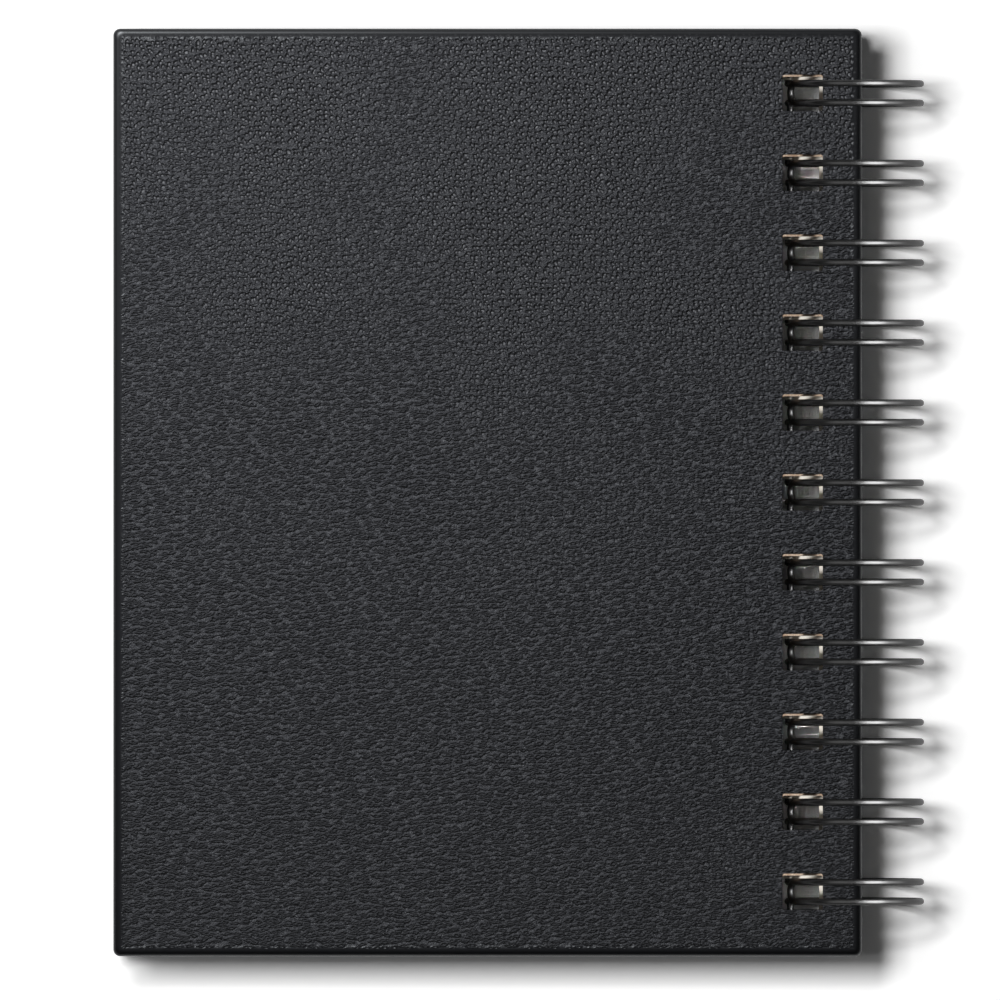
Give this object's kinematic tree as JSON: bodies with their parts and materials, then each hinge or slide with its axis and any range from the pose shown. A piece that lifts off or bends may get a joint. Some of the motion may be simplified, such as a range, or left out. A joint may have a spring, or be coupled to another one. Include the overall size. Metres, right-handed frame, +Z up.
{
  "type": "wire-bound notebook",
  "caption": "Hardcover pocket notebook with leather-look covers, bound along its side by a twin-loop wire through punched holes; each cover swings open about the spine edge.",
  "frame": {"origin": "under the middle of the closed notebook, at the lowest point of the wire loops", "axes": "+X across the covers to the binding, +Y along the binding to the head of the pages, +Z up through the pages to the back cover, which is uppermost"},
  "size_m": [0.129, 0.1474, 0.0222],
  "materials": {
    "leatherette": "fine pebbled grain, satin",
    "greyboard": "raw cut board",
    "lining_paper": "smooth, matte",
    "page_paper": "uncoated, matte",
    "coated_wire": "glossy black coating"
  },
  "bodies": {
    "pages": {"page_block": "page_paper", "twin_loop_wire": "coated_wire"},
    "back_cover": {"back_cover_board": "greyboard", "back_cover_wrap": "leatherette", "back_cover_lining": "lining_paper"},
    "front_cover": {"front_cover_board": "greyboard", "front_cover_wrap": "leatherette", "front_cover_lining": "lining_paper"}
  },
  "joints": [
    {"name": "back_cover_hinge", "type": "hinge", "parent": "pages", "child": "back_cover", "pos_m": [0.05457, 0, 0.01111], "axis": [0, 1, 0], "range_deg": [0, 180]},
    {"name": "front_cover_hinge", "type": "hinge", "parent": "pages", "child": "front_cover", "pos_m": [0.05457, 0, 0.01111], "axis": [0, -1, 0], "range_deg": [0, 180]}
  ]
}
